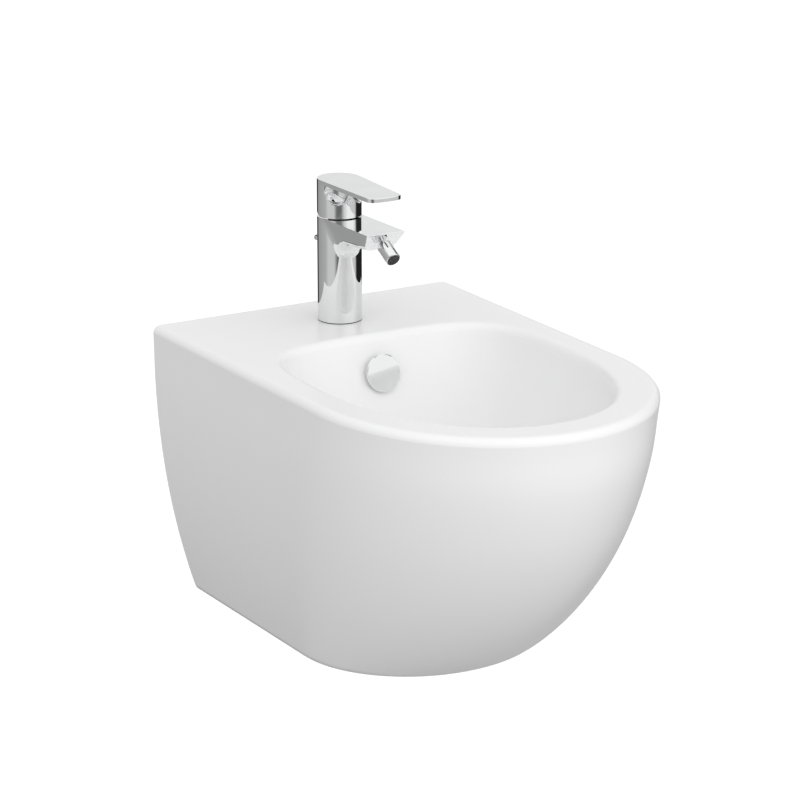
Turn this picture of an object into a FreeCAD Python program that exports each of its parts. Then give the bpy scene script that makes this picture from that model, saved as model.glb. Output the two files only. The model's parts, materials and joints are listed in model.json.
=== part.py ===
import FreeCAD, Part
import math
import os
from FreeCAD import Vector

os.makedirs("parts", exist_ok=True)

# Wall-hung bidet with a single-lever mixer and a pop-up waste.
# Millimetres. The origin is midway between the two wall-fixing holes, on the wall plane.
# +Z is up, the wall is the plane Y = 0 and the bowl stands out along -Y.

# Clearances
RUN = 0.05
SEAT = 0.1
LOOSE = 0.3
PRESS = 0.02
EDGE_ROUND = 0.7

# Ceramic skin
WIDTH = 360.0
DEPTH = 530.0
HEIGHT = 302.0
RIM_Z = 135.0
RIM_ROUND = 8.0
FOOT_ROUND = 7.0
FOOT_START_RATIO = 0.97
SIDE_TAPER = 5.0
SIDE_POWER = 2.25
STRAIGHT_RIM = 330.0
STRAIGHT_FOOT = 221.0
FOOT_HALF = 135.6
FOOT_DEPTH = 340.6
FRONT_POWER = 2.06
FRONT_EASE = 0.893
SKIN_WALL = 12.0
DECK = 16.0
BACK_WALL = 22.0
BACK_TRIM = 2.0

# Bowl
RIM_SIDE = 40.5
RIM_FRONT = 43.0
RIM_BACK = 145.5
OPEN_WAIST = -280.0
OPEN_FRONT_N = 2.15
OPEN_BACK_N = 3.8
OPEN_ROUND = 7.0
BOWL_DEPTH = 150.0
BOWL_WALL = 11.0
SUMP_RADIUS = 48.0
SUMP_FRONT = 62.0
SIDE_CURVE = 1.6
FRONT_CURVE = 1.8
BACK_CURVE = 1.05

# Wall fixing
FIX_SPACING = 180.0
STUD_R = 6.0
SLEEVE_R = 9.9
SLEEVE_WALL = 3.35
WINDOW_HALF = 58.0
WINDOW_TOP = 75.0
WINDOW_FOOT = -125.0
HATCH_HALF = 92.0
HATCH_FRONT = -300.0
HATCH_BACK = 14.0
WINDOW_ROUND = 14.0
HATCH_ROUND = 24.0
SLEEVE_LIP_R = 14.0
SLEEVE_LIP_T = 3.0
WASHER_R = 15.0
WASHER_T = 2.5
FIX_NUT_FLATS = 19.0
FIX_NUT_T = 10.0

# Overflow
OVERFLOW_DEPTH = 38.5
OVERFLOW_HOLE_R = 12.5
COVER_R = 19.5
COVER_T = 2.5
COVER_GAP = 4.5
COVER_LEAN_DEG = 6.0
COVER_BEVEL = 0.8
COVER_PLUG = 9.0
COVER_PORT_R = 2.2
CLIP_WALL = 4.2
CLIP_TOP = 1.5
CLIP_FOOT = 8.0
DUCT_HALF = 15.0
DUCT_GAP = 11.0
DUCT_WALL = 8.0
DUCT_OVER = 4.0
SLOT_TOP = 16.0
SLOT_FOOT = 30.0

# Mixer, heights above the deck
TAP_Y = -75.0
TAP_HOLE_R = 17.5
COLUMN_R = 23.25
GASKET_T = 1.0
BODY_TOP = 111.0
SPOUT_REACH = 95.0
SPOUT_DROP = 19.5
SPOUT_UNDERCUT = 15.0
SPOUT_FRONT_HALF = 22.6
SPOUT_LEAN = 0.287
SPOUT_FALL = 4.0
SPOUT_BACK_HALF = 22.6
GUSSET_R = 20.0
GUSSET_SINK = 0.6
GUSSET_END_DEG = 8.0
KEEL_ROUND = 9.0
BLEND_ROUND = 18.0
RECESS_R = 17.0
RECESS_H = 12.0
INLET_X = 9.0
INLET_Y = 2.0
INLET_R = 4.5
INLET_H = 14.0
INLET_DRILL_R = 4.0
INLET_RUNOUT = 6.0
STUD_Y = -11.0
CLAMP_STUD_R = 4.0
STUD_GRIP = 11.0
STUD_HANG = 38.0
PAD_R = 25.0
PAD_T = 2.0
CLAMP_R = 26.0
CLAMP_T = 3.0
CLAMP_GAP = 14.5
CLAMP_THROAT = 4.0
CLAMP_FLATS = 13.0
CLAMP_NUT_T = 8.0
WAY_R = 3.0
OUTLET_HALF = 5.0
OUTLET_CUT = 2.6
OUTLET_R = 4.0

# Cartridge, heights above the deck
BORE_R = 17.7
BORE_FOOT = 64.8
SHOULDER_H = 101.0
CHAMBER_R = 16.0
CHAMBER_TOP = 95.0
NECK_R = 14.7
ROTOR_R = 12.0
ROTOR_TOP = 117.0
FLANGE_H = 4.6
PIVOT_H = 106.0
PIN_R = 1.75
TIP_ARM = 12.0
TIP_R = 3.0
SPINDLE_HALF = 3.5
SPINDLE_TOP = 138.0
DISC_R = 11.0
BASE_TOP = 73.5
FIXED_TOP = 79.0
MOVING_TOP = 84.0
DRIVER_TOP = 89.8
BOSS_HALF = 6.0
LIFT_DEG = 20.0
PORT_SIDE = 8.0
PORT_BACK = 2.0
PORT_FRONT = 9.0
PORT_SEAL_R = 4.6
PORT_SEAL_T = 1.2
POCKET_R = 5.5
POCKET_H = 3.0
BOSS_OVER = 2.4
SWING_HALF = 9.0

# Lever, heights above the deck
LEVER_FOOT = 112.0
LEVER_BACK_TOP = 151.0
LEVER_FRONT_TOP = 148.5
LEVER_REACH = 97.0
LEVER_FRONT_HALF = 19.5
PLATE_T = 4.2
LEVER_CORNER = 8.0
LEVER_BOW = 2.4
CAVITY_R = 19.6
CAVITY_TOP = 126.0
SCOOP_R = 17.0
SCOOP_OUT = 30.0
SCOOP_DEG = 37.0
SCOOP_H = 141.5
SCREW_H = 129.0
SCREW_R = 2.5
CAP_R = 4.2
CAP_SINK = 2.2
SCREW_LENGTH = 13.0
SCREW_KEY = 2.5

# Ball nozzle
SOCKET_DOWN = 14.75
BALL_R = 6.5
LINER_T = 0.6
LINER_HALF_DEG = 15.0
MOUTH_DEG = 50.0
RING_R = 8.2
NOZZLE_DEG = 30.0
NOZZLE_REACH = 30.3
NOZZLE_R = 7.7
NOZZLE_REAR = 8.0
NOZZLE_NECK_R = 3.4
JET_R = 2.0
BARREL_WALL = 0.8
BARREL_DEPTH = 12.0
MESH_SINK = 0.8
MESH_T = 1.0
MESH_PITCH = 1.7
MESH_HOLE_R = 0.55
INSERT_LENGTH = 9.0
INSERT_WALL = 1.0
INSERT_SEAL_T = 1.1
INSERT_SEAL_R = 3.5
SEAL_R = 4.8
SEAL_DEPTH = 7.2
SEAL_IN_DEG = 24.0
SEAL_OUT_DEG = 44.0

# Lift rod
RAKE_DEG = 18.0
ROD_OUT = 12.5
ROD_R = 2.5
KNOB_H = 80.0
KNOB_R = 7.5
KNOB_T = 5.5
LIFT_TRAVEL = 22.0
LINK_HALF = 7.0
LINK_SCREW_R = 2.0
LINK_NEAR = 7.0
LINK_FAR = 10.0
LINK_BELOW = 7.0
LINK_ABOVE = 28.0
ROD_SINK = 6.0
SCREW_RISE = 13.0
SCREW_HEAD_R = 3.5
SCREW_HEAD_T = 3.0
SLOT_SLACK = 1.4
ROD_TAIL = 16.0

# Pop-up waste
WASTE_Y = -250.0
WASTE_HOLE_R = 23.0
WASTE_BOSS_R = 42.0
WASTE_BOSS_H = 50.0
FLANGE_SEAT = 5.0
FLANGE_SEAL = 1.2
FLANGE_R = 32.0
FLANGE_T = 3.0
FLANGE_GAP = 1.5
DISH = 5.0
SLOT_HALF = 5.0
TUBE_R = 20.9
TUBE_BORE = 17.0
TUBE_LENGTH = 76.0
NUT_H = 12.0
NUT_R = 28.0
NUT_LIP_R = 33.0
NUT_LIP_T = 3.0
LUG_OUT = 4.0
LUG_HALF = 3.0
GASKET_H = 6.0
GASKET_CONE = 2.0
TAIL_R = 16.0
TAIL_WALL = 1.7
TEE_BORE = 15.0
TEE_R = 19.0
TAIL_LENGTH = 50.0
BALL_DROP = 100.0
BALL_ARM = 27.0
GLAND_BALL_R = 6.5
PORT_R = 11.0
PORT_BORE = 5.4
GLAND_R = 8.0
GLAND_SEAT = 7.0
PORT_OVER = 6.0
GLAND_SKIRT = 2.0
GLAND_WALL = 3.5
SOCKET_H = 8.0
SOCKET_WALL = 3.0
TEE_SEAL = 2.0
TEE_BELOW = 20.0
ROD_EYE = 5.0
PLUG_R = 28.5
PLUG_EDGE = 3.0
PLUG_DOME_R = 15.0
PLUG_DOME = 5.6
STEM_R = 4.0
FIN_T = 2.4
FIN_TOP = 14.0
FIN_FOOT = 38.0
EYE_HALF = 6.5
EYE_T = 4.0
EYE_BELOW = 8.0
EYE_ABOVE = 12.0
PLUG_SEAL_T = 2.5

# Derived places
AXIS_TOP = RIM_Z + BODY_TOP
FLOOR_Z = RIM_Z - BOWL_DEPTH
BALL_Z = FLOOR_Z - BALL_DROP
TAIL_END = BALL_Z - TAIL_LENGTH
OPEN_HALF = WIDTH / 2 - RIM_SIDE
OPEN_FRONT = RIM_FRONT - DEPTH
OPEN_BACK = -RIM_BACK
BOSS_FOOT = FLOOR_Z - WASTE_BOSS_H
FOOT_Z = RIM_Z - HEIGHT
RAKE = math.radians(RAKE_DEG)
ROD_DIR = Vector(0, math.sin(RAKE), math.cos(RAKE))
GLAND = Vector(0, WASTE_Y + BALL_ARM, BALL_Z)
LINK_Y = TAP_Y + ROD_OUT + (BALL_Z - RIM_Z) * math.tan(RAKE)
LINK_ARM = LINK_Y - GLAND.y
ROD_SWING = 2 * math.atan(LIFT_TRAVEL * math.cos(RAKE) / 2 / LINK_ARM)
PLUG_TRAVEL = 2 * BALL_ARM * math.sin(ROD_SWING / 2)
FACE_LENGTH = math.hypot(SPOUT_UNDERCUT, SPOUT_DROP)
FACE_DOWN = Vector(0, SPOUT_UNDERCUT / FACE_LENGTH, -SPOUT_DROP / FACE_LENGTH)
FACE_OUT = Vector(0, -SPOUT_DROP / FACE_LENGTH, -SPOUT_UNDERCUT / FACE_LENGTH)
SOCKET = Vector(0, TAP_Y - SPOUT_REACH, AXIS_TOP) + FACE_DOWN * SOCKET_DOWN
CAGE_R = BALL_R + LINER_T + 2 * RUN
BALL_BACK = BALL_R * math.cos(math.radians(MOUTH_DEG))
BALL = SOCKET - FACE_OUT * BALL_BACK
NOZZLE_DIR = Vector(0, -math.cos(math.radians(NOZZLE_DEG)), -math.sin(math.radians(NOZZLE_DEG)))
UP = Vector(0, 0, 1)
OUT = Vector(0, -1, 0)
BACK = Vector(0, 1, 0)
SIDE = Vector(1, 0, 0)
DISC_TRAVEL = TIP_ARM * math.radians(LIFT_DEG)
INSERT_R = NOZZLE_R - BARREL_WALL - SEAT
MESH_END = NOZZLE_REACH - MESH_SINK
WASHER_SEAT = BACK_WALL + SLEEVE_LIP_T
FIX_NUT_SEAT = WASHER_SEAT + WASHER_T
GASKET_FOOT = BOSS_FOOT - GASKET_H
DECK_FOOT = RIM_Z - DECK
RECESS_FOOT = FLOOR_Z - FLANGE_SEAT
FLANGE_FOOT = RECESS_FOOT + FLANGE_SEAL
TUBE_FOOT = FLANGE_FOOT - TUBE_LENGTH
CAP_FOOT = FLANGE_FOOT + FLANGE_T + LOOSE + PLUG_TRAVEL


def cyl(r, base, axis, length):
    """Solid cylinder from a base point along an axis."""
    return Part.makeCylinder(r, length, base, axis)


def rod(r, x, y, z0, z1):
    """Upright cylinder between two heights."""
    return cyl(r, Vector(x, y, z0), UP, z1 - z0)


def ring(outer, inner, y, z0, z1):
    """Upright ring on the middle plane."""
    return rod(outer, 0, y, z0, z1).cut(rod(inner, 0, y, z0 - 1, z1 + 1))


def block(x0, x1, y0, y1, z0, z1):
    """Box between two corners."""
    return Part.makeBox(x1 - x0, y1 - y0, z1 - z0, Vector(x0, y0, z0))


def spin(profile, origin, axis):
    """Solid of revolution from (radius, height) pairs about an axis through the origin point."""
    points = [Vector(r, 0, h) for r, h in profile]
    face = Part.Face(Part.makePolygon(points + [points[0]]))
    solid = face.revolve(Vector(0, 0, 0), UP, 360)
    solid.Placement = FreeCAD.Placement(origin, FreeCAD.Rotation(UP, axis))
    return solid


def hexagon(flats, base, axis, length):
    """Hexagonal prism with a given width across flats."""
    reach = flats / math.sqrt(3)
    turns = [math.radians(60 * k) for k in range(7)]
    wire = Part.makePolygon([Vector(reach * math.cos(a), reach * math.sin(a), 0) for a in turns])
    solid = Part.Face(wire).extrude(Vector(0, 0, length))
    solid.Placement = FreeCAD.Placement(base, FreeCAD.Rotation(UP, axis))
    return solid


def prism_yz(points, half):
    """Prism of a Y-Z outline, the same width to both sides."""
    loop = [Vector(-half, y, z) for y, z in points]
    return Part.Face(Part.makePolygon(loop + [loop[0]])).extrude(Vector(2 * half, 0, 0))


def spline(points, closed):
    """Smooth curve through the points."""
    curve = Part.BSplineCurve()
    curve.interpolate(points, PeriodicFlag=closed)
    return curve.toShape()


def skin_wire(t, z, inset, back):
    """Outline of the skin at one height: straight sides and a half-ellipse front."""
    half = WIDTH / 2 - SIDE_TAPER - (WIDTH / 2 - FOOT_HALF) * t ** SIDE_POWER - inset
    straight = STRAIGHT_RIM + (STRAIGHT_FOOT - STRAIGHT_RIM) * t
    reach = FOOT_DEPTH + (DEPTH - FOOT_DEPTH) * (1 - t ** FRONT_POWER) ** FRONT_EASE - inset
    bulge = reach - straight
    start = math.atan(SIDE_TAPER / straight * bulge / half)
    turns = [start, math.pi / 2, math.pi - start]
    ends = [Vector(math.cos(a), -math.sin(a), 0) for a in turns]
    stretch = FreeCAD.Matrix()
    stretch.scale(half, bulge, 1)
    stretch.move(Vector(0, -straight, z))
    front = Part.Arc(*ends).toShape().transformGeometry(stretch).Edges[0]
    near = stretch.multVec(ends[0])
    far = stretch.multVec(ends[2])
    rear = half + SIDE_TAPER * (1 + max(back, 0) / straight)
    right = Vector(rear, back, z)
    left = Vector(-rear, back, z)
    sides = [Part.makeLine(right, near), front, Part.makeLine(far, left), Part.makeLine(left, right)]
    return Part.Wire(sides)


def skin_height(t):
    """Height of the skin at a fraction of the way down."""
    return RIM_Z - RIM_ROUND - (HEIGHT - RIM_ROUND) * t


def quarter():
    """Angles of a quarter round, from its start to its end."""
    return [math.radians(15 * k) for k in range(7)]


def skin():
    """Outer shape of the ceramic with rounded rim and foot and a flat back."""
    steps = [0, 0.14, 0.28, 0.42, 0.56, 0.68, 0.79, 0.88, 0.94, FOOT_START_RATIO]
    side = Part.makeLoft([skin_wire(t, skin_height(t), 0, BACK_TRIM) for t in steps], True)
    rim = []
    foot = []
    drop = skin_height(FOOT_START_RATIO) - FOOT_Z
    for a in quarter():
        lift = math.sin(a)
        draw = 1 - math.cos(a)
        t = FOOT_START_RATIO + (1 - FOOT_START_RATIO) * lift
        rim.append(skin_wire(0, RIM_Z - RIM_ROUND * (1 - lift), RIM_ROUND * draw, BACK_TRIM))
        foot.append(skin_wire(t, FOOT_Z + drop * (1 - lift), FOOT_ROUND * draw, BACK_TRIM))
    solid = side.fuse(Part.makeLoft(rim, True)).fuse(Part.makeLoft(foot, True))
    return solid.cut(block(-WIDTH, WIDTH, 0, 2 * BACK_TRIM, FOOT_Z - 1, RIM_Z + 1))


def cavity():
    """Hollow inside the skin, under the deck and in front of the back wall."""
    steps = [0, 0.14, 0.28, 0.42, 0.56, 0.68, 0.79, 0.88, 0.95, 1]
    heights = [min(skin_height(t) + SKIN_WALL * t ** 4, RIM_Z - DECK) for t in steps]
    pairs = [(t, z) for t, z in zip(steps, heights) if z < RIM_Z - DECK]
    wires = [skin_wire(0.03, RIM_Z - DECK, SKIN_WALL, -BACK_WALL)]
    wires += [skin_wire(t, z, SKIN_WALL, -BACK_WALL) for t, z in pairs]
    return Part.makeLoft(wires, True)


def ease(v, power):
    """Share of the way in from the rim to the sump at a share of the depth."""
    if v < 0:
        return -ease(-v, power)
    return 1 - (1 - v ** power) ** (1 / power)


def bowl_back(v):
    """Y of the bowl's rear wall on the middle plane."""
    return OPEN_BACK + (WASTE_Y + SUMP_RADIUS - OPEN_BACK) * ease(v, BACK_CURVE)


def bowl_wire(v, grow):
    """Closed outline of the bowl at a share of its depth."""
    share = ease(v, SIDE_CURVE)
    side = OPEN_HALF + (SUMP_RADIUS - OPEN_HALF) * share + grow
    front_y = OPEN_FRONT + (WASTE_Y - SUMP_FRONT - OPEN_FRONT) * ease(v, FRONT_CURVE) - grow
    waist = OPEN_WAIST + (WASTE_Y - OPEN_WAIST) * v
    back = bowl_back(v) + grow - waist
    front = waist - front_y
    front_n = OPEN_FRONT_N + (2 - OPEN_FRONT_N) * v
    back_n = OPEN_BACK_N + (2 - OPEN_BACK_N) * share
    z = RIM_Z - BOWL_DEPTH * v - grow * max(v, 0) ** 2
    points = []
    for k in range(40):
        a = 2 * math.pi * k / 40
        c, s = abs(math.cos(a)), abs(math.sin(a))
        n, depth = (back_n, back) if math.sin(a) > 0 else (front_n, front)
        r = ((c / side) ** n + (s / depth) ** n) ** (-1 / n)
        points.append(Vector(r * math.cos(a), waist + r * math.sin(a), z))
    return Part.Wire([spline(points, True)])


def bowl(grow):
    """Bowl hollow, or its outside when grown by the wall."""
    steps = [-0.06, 0, 0.12, 0.26, 0.4, 0.54, 0.67, 0.79, 0.88, 0.95, 1]
    return Part.makeLoft([bowl_wire(v, grow) for v in steps], True)


def bowl_lip():
    """Rounded edge between the bowl and the rim's top."""
    wires = []
    for a in quarter():
        depth = OPEN_ROUND * (1 - math.sin(a))
        wires.append(bowl_wire(depth / BOWL_DEPTH, OPEN_ROUND * (1 - math.cos(a))))
    return Part.makeLoft(wires, True)


def overflow_frame():
    """Point on the rear wall at the overflow and the wall's normal into the bowl."""
    v = OVERFLOW_DEPTH / BOWL_DEPTH
    step = 0.02
    run = bowl_back(v + step) - bowl_back(v - step)
    slope = Vector(0, run, -2 * step * BOWL_DEPTH)
    normal = Vector(0, slope.z, -slope.y).normalize()
    return Vector(0, bowl_back(v), RIM_Z - OVERFLOW_DEPTH), normal


def overflow_duct(half, grow):
    """Slice of the grown bowl behind the rear wall, from overflow to sump."""
    top = RIM_Z - OVERFLOW_DEPTH + half + DUCT_OVER
    return bowl(grow).common(block(-half, half, WASTE_Y, 0, BOSS_FOOT, top))


def bowl_outside():
    """Outside of the bowl casting: grown bowl, sump boss and overflow duct, below the deck."""
    duct = overflow_duct(DUCT_HALF + DUCT_WALL, BOWL_WALL + DUCT_GAP + DUCT_WALL)
    solid = bowl(BOWL_WALL).fuse(rod(WASTE_BOSS_R, 0, WASTE_Y, BOSS_FOOT, FLOOR_Z)).fuse(duct)
    return solid.common(block(-WIDTH, WIDTH, -DEPTH, 0, FOOT_Z, DECK_FOOT))


def ceramic_bowl():
    """Bowl casting that hangs under the deck, with its sump boss and overflow duct."""
    solid = bowl_outside().cut(bowl(0))
    channel = overflow_duct(DUCT_HALF, BOWL_WALL + DUCT_GAP).cut(bowl(BOWL_WALL))
    reach = WASTE_Y + SUMP_RADIUS + BOWL_WALL
    slot = block(-DUCT_HALF, DUCT_HALF, WASTE_Y, reach, FLOOR_Z - SLOT_FOOT, FLOOR_Z - SLOT_TOP)
    point, normal = overflow_frame()
    start = point + normal * COVER_PLUG
    hole = cyl(OVERFLOW_HOLE_R, start, normal * -1, COVER_PLUG + BOWL_WALL + DUCT_GAP / 2)
    solid = solid.cut(channel).cut(slot).cut(hole)
    solid = solid.cut(rod(WASTE_HOLE_R, 0, WASTE_Y, BOSS_FOOT - 1, FLOOR_Z + 1))
    return solid.cut(rod(FLANGE_R + FLANGE_GAP, 0, WASTE_Y, RECESS_FOOT, FLOOR_Z + 1))


def ceramic_body():
    """Hollow casing: skin, deck with the bowl's rounded mouth, back wall and foot."""
    shell = skin().cut(bowl(0)).cut(bowl_lip()).cut(cavity())
    shell = shell.cut(rod(TAP_HOLE_R, 0, TAP_Y, DECK_FOOT - 1, RIM_Z + 1))
    for x in (-FIX_SPACING / 2, FIX_SPACING / 2):
        shell = shell.cut(cyl(SLEEVE_R + SEAT, Vector(x, 1, 0), OUT, BACK_WALL + 2))
    window = block(-WINDOW_HALF, WINDOW_HALF, -BACK_WALL - 1, 1, WINDOW_FOOT, WINDOW_TOP)
    corners = [e for e in window.Edges if e.BoundBox.YLength > 1]
    shell = shell.cut(window.makeFillet(WINDOW_ROUND, corners))
    rear = -BACK_WALL - HATCH_BACK
    hatch = block(-HATCH_HALF, HATCH_HALF, HATCH_FRONT, rear, FOOT_Z - 1, FOOT_Z + SKIN_WALL + 2)
    corners = [e for e in hatch.Edges if e.BoundBox.ZLength > 1]
    return shell.cut(hatch.makeFillet(HATCH_ROUND, corners))


def overflow_cover():
    """Round cover that stands off the rear wall on a plug, more upright than the wall."""
    point, normal = overflow_frame()
    plug_r = OVERFLOW_HOLE_R - CLIP_WALL
    plug_length = COVER_PLUG + COVER_GAP + COVER_T / 2
    upright = FreeCAD.Rotation(SIDE, COVER_LEAN_DEG).multVec(normal)
    profile = [(0, 0), (COVER_R, 0), (COVER_R, COVER_T - COVER_BEVEL)]
    profile += [(COVER_R - COVER_BEVEL, COVER_T), (0, COVER_T)]
    disc = spin(profile, point + normal * COVER_GAP, upright)
    solid = disc.fuse(cyl(plug_r, point - normal * COVER_PLUG, normal, plug_length)).removeSplitter()
    for k in range(4):
        a = math.radians(90 * k + 45)
        way = Vector(math.cos(a), normal.z * math.sin(a), -normal.y * math.sin(a))
        solid = solid.cut(cyl(COVER_PORT_R, point - normal * (COVER_PLUG / 2), way, OVERFLOW_HOLE_R))
    return solid


def overflow_clip():
    """Soft ring that grips the cover's plug in the overflow hole."""
    point, normal = overflow_frame()
    inner = OVERFLOW_HOLE_R - CLIP_WALL + SEAT
    outer = OVERFLOW_HOLE_R - SEAT
    profile = [(inner, -CLIP_TOP), (outer, -CLIP_TOP), (outer, -CLIP_FOOT), (inner, -CLIP_FOOT)]
    return spin(profile, point, normal)


def pair(shape_at):
    """The two fixings as one group of solids."""
    return Part.makeCompound([shape_at(-FIX_SPACING / 2), shape_at(FIX_SPACING / 2)])


def fixing_sleeve(x):
    """Flanged sleeve through the back wall, around the wall stud."""
    bore = SLEEVE_R - SLEEVE_WALL
    profile = [(bore, 0), (SLEEVE_R, 0), (SLEEVE_R, BACK_WALL), (SLEEVE_LIP_R, BACK_WALL)]
    profile += [(SLEEVE_LIP_R, WASHER_SEAT), (bore, WASHER_SEAT)]
    return spin(profile, Vector(x, 0, 0), OUT)


def fixing_washer(x):
    """Steel washer under the fixing nut."""
    bore = SLEEVE_R - SLEEVE_WALL
    profile = [(bore, WASHER_SEAT), (WASHER_R, WASHER_SEAT), (WASHER_R, FIX_NUT_SEAT), (bore, FIX_NUT_SEAT)]
    return spin(profile, Vector(x, 0, 0), OUT)


def fixing_nut(x):
    """Hexagon nut for the wall stud."""
    seat = Vector(x, -FIX_NUT_SEAT, 0)
    return hexagon(FIX_NUT_FLATS, seat, OUT, FIX_NUT_T).cut(cyl(STUD_R + SEAT, seat, OUT, FIX_NUT_T))


def spout_side():
    """Side view of the spout: level top, undercut front, falling underside and a round gusset."""
    front = TAP_Y - SPOUT_REACH
    foot = AXIS_TOP - SPOUT_DROP
    column = TAP_Y - COLUMN_R
    lip = front + SPOUT_UNDERCUT
    fall = SPOUT_FALL / (column - lip)
    tilt = math.atan(fall)
    mid_y = column - GUSSET_R + GUSSET_SINK
    mid_z = foot - fall * (mid_y - lip) - GUSSET_R / math.cos(tilt)
    turns = [math.pi / 2 - tilt, math.pi / 4, math.radians(GUSSET_END_DEG)]
    bend = [(mid_y + GUSSET_R * math.cos(a), mid_z + GUSSET_R * math.sin(a)) for a in turns]
    low = bend[2][1]
    return [bend[2], (TAP_Y, low), (TAP_Y, AXIS_TOP), (front, AXIS_TOP), (lip, foot), bend[0]], bend


def spout():
    """Spout with sides leaning in, an undercut front, a rounded keel and a gusset to the column."""
    corners, bend = spout_side()
    wide = 2 * COLUMN_R
    loop = [Vector(-wide, y, z) for y, z in corners]
    edges = [Part.makeLine(a, b) for a, b in zip(loop, loop[1:])]
    gusset = arc(*[Vector(-wide, y, z) for y, z in bend])
    solid = Part.Face(Part.Wire(edges + [gusset])).extrude(SIDE * (2 * wide))
    z = bend[2][1] - 2
    wires = []
    for y, half in ((TAP_Y, SPOUT_BACK_HALF), (TAP_Y - SPOUT_REACH - 1, SPOUT_FRONT_HALF)):
        low = half - SPOUT_LEAN * (AXIS_TOP - z)
        spots = [(-half, AXIS_TOP), (half, AXIS_TOP), (low, z), (-low, z), (-half, AXIS_TOP)]
        wires.append(Part.makePolygon([Vector(x, y, h) for x, h in spots]))
    solid = solid.common(Part.makeLoft(wires, True, True))
    return solid.makeFillet(KEEL_ROUND, keel_edges(solid))


def keel_edges(solid):
    """Long lower edges of the spout, from its lip to the column."""
    foot = AXIS_TOP - SPOUT_DROP + EDGE_ROUND
    long = [e for e in solid.Edges if e.BoundBox.YLength > GUSSET_R / 4 and e.BoundBox.ZMax < foot]
    return [e for e in long if abs(e.CenterOfMass.x) > 1]


def blended_spout():
    """Column and spout in one, with a round blend where they meet."""
    body = rod(COLUMN_R, 0, TAP_Y, RIM_Z + GASKET_T, AXIS_TOP).fuse(spout()).removeSplitter()
    seam = [e for e in body.Edges if on_column(e) and e.BoundBox.ZMin > RIM_Z + RECESS_H]
    seam = [e for e in seam if e.BoundBox.YMax < TAP_Y and e.BoundBox.ZMin < AXIS_TOP - SPOUT_DROP]
    body = body.makeFillet(BLEND_ROUND, seam)
    top = max(body.Faces, key=lambda f: f.CenterOfMass.z)
    rim = [e for e in top.Edges if e.BoundBox.YMin < TAP_Y - COLUMN_R - BLEND_ROUND]
    return body.makeFillet(EDGE_ROUND, rim)


def on_column(edge):
    """Whether an edge lies on the column's skin."""
    first, last = edge.ParameterRange
    spots = [edge.valueAt(first + (last - first) * k / 4) for k in range(5)]
    return all(abs(math.hypot(p.x, p.y - TAP_Y) - COLUMN_R) < SEAT / 10 for p in spots)


def rod_line(h):
    """Point on the lift rod's centre line at a height above the deck."""
    return Vector(0, TAP_Y + ROD_OUT + h * math.tan(RAKE), RIM_Z + h)


def tap_body():
    """Mixer body: column, spout, cartridge bore, waterways, inlets and rod guide."""
    foot = RIM_Z + GASKET_T
    body = blended_spout()
    body = body.cut(rod(BORE_R + SEAT, 0, TAP_Y, RIM_Z + BORE_FOOT, AXIS_TOP + 1))
    body = body.cut(rod(RECESS_R, 0, TAP_Y, foot - 1, RIM_Z + RECESS_H))
    for x in (-INLET_X, INLET_X):
        thread = RIM_Z + RECESS_H + INLET_H
        body = body.cut(rod(INLET_R, x, TAP_Y + INLET_Y, RIM_Z, thread))
        body = body.cut(rod(INLET_DRILL_R, x, TAP_Y + INLET_Y, RIM_Z, thread + INLET_RUNOUT))
        body = body.cut(rod(WAY_R, x, TAP_Y + INLET_Y, RIM_Z, RIM_Z + BORE_FOOT + 1))
    stud_top = RIM_Z + RECESS_H + STUD_GRIP + LOOSE
    body = body.cut(rod(CLAMP_STUD_R + SEAT, 0, TAP_Y + STUD_Y, RIM_Z, stud_top))
    body = body.cut(rod_hole(ROD_R + RUN))
    wall = TAP_Y - BORE_R
    slot = block(-OUTLET_HALF, OUTLET_HALF, wall - OUTLET_CUT, wall + 2, RIM_Z + BORE_FOOT, BALL.z + OUTLET_R)
    way = cyl(OUTLET_R, Vector(0, wall, BALL.z), OUT, wall - BALL.y - OUTLET_R)
    body = body.cut(slot).cut(way)
    socket = cyl(SEAL_R + SEAT, BALL, FACE_OUT * -1, SEAL_DEPTH)
    mouth = cyl(RING_R + SEAT, BALL, FACE_OUT, BALL_BACK + 1)
    return body.cut(Part.makeSphere(CAGE_R, BALL)).cut(socket).cut(mouth)


def rod_hole(radius):
    """Way of the lift rod from below the deck up to its knob."""
    low = rod_line(-DECK)
    return cyl(radius, low, ROD_DIR, (rod_line(KNOB_H) - low).Length)


def base_gasket():
    """Thin seal between the mixer and the deck."""
    seal = ring(COLUMN_R - LOOSE, TAP_HOLE_R, TAP_Y, RIM_Z, RIM_Z + GASKET_T)
    return seal.cut(rod_hole(ROD_R + LOOSE))


def clamp_stud():
    """Stud that pulls the mixer down on the deck."""
    return rod(CLAMP_STUD_R, 0, TAP_Y + STUD_Y, RIM_Z - STUD_HANG, RIM_Z + RECESS_H + STUD_GRIP)


def horseshoe(outer, z0, z1):
    """Horseshoe plate under the deck, open to the back for the hoses and the rod."""
    plate = rod(outer, 0, TAP_Y, z0, z1)
    plate = plate.cut(block(-CLAMP_GAP, CLAMP_GAP, TAP_Y - CLAMP_THROAT, TAP_Y + outer, z0, z1))
    return plate.cut(rod(CLAMP_STUD_R + LOOSE, 0, TAP_Y + STUD_Y, z0, z1))


def clamp_nut():
    """Nut on the clamp stud."""
    base = Vector(0, TAP_Y + STUD_Y, DECK_FOOT - PAD_T - CLAMP_T - CLAMP_NUT_T)
    return hexagon(CLAMP_FLATS, base, UP, CLAMP_NUT_T).cut(cyl(CLAMP_STUD_R + SEAT, base, UP, CLAMP_NUT_T))


def port_spots():
    """Places of the cartridge's two inlets and its outlet, from the column's axis."""
    return [(-PORT_SIDE, PORT_BACK), (PORT_SIDE, PORT_BACK), (0, -PORT_FRONT)]


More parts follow.
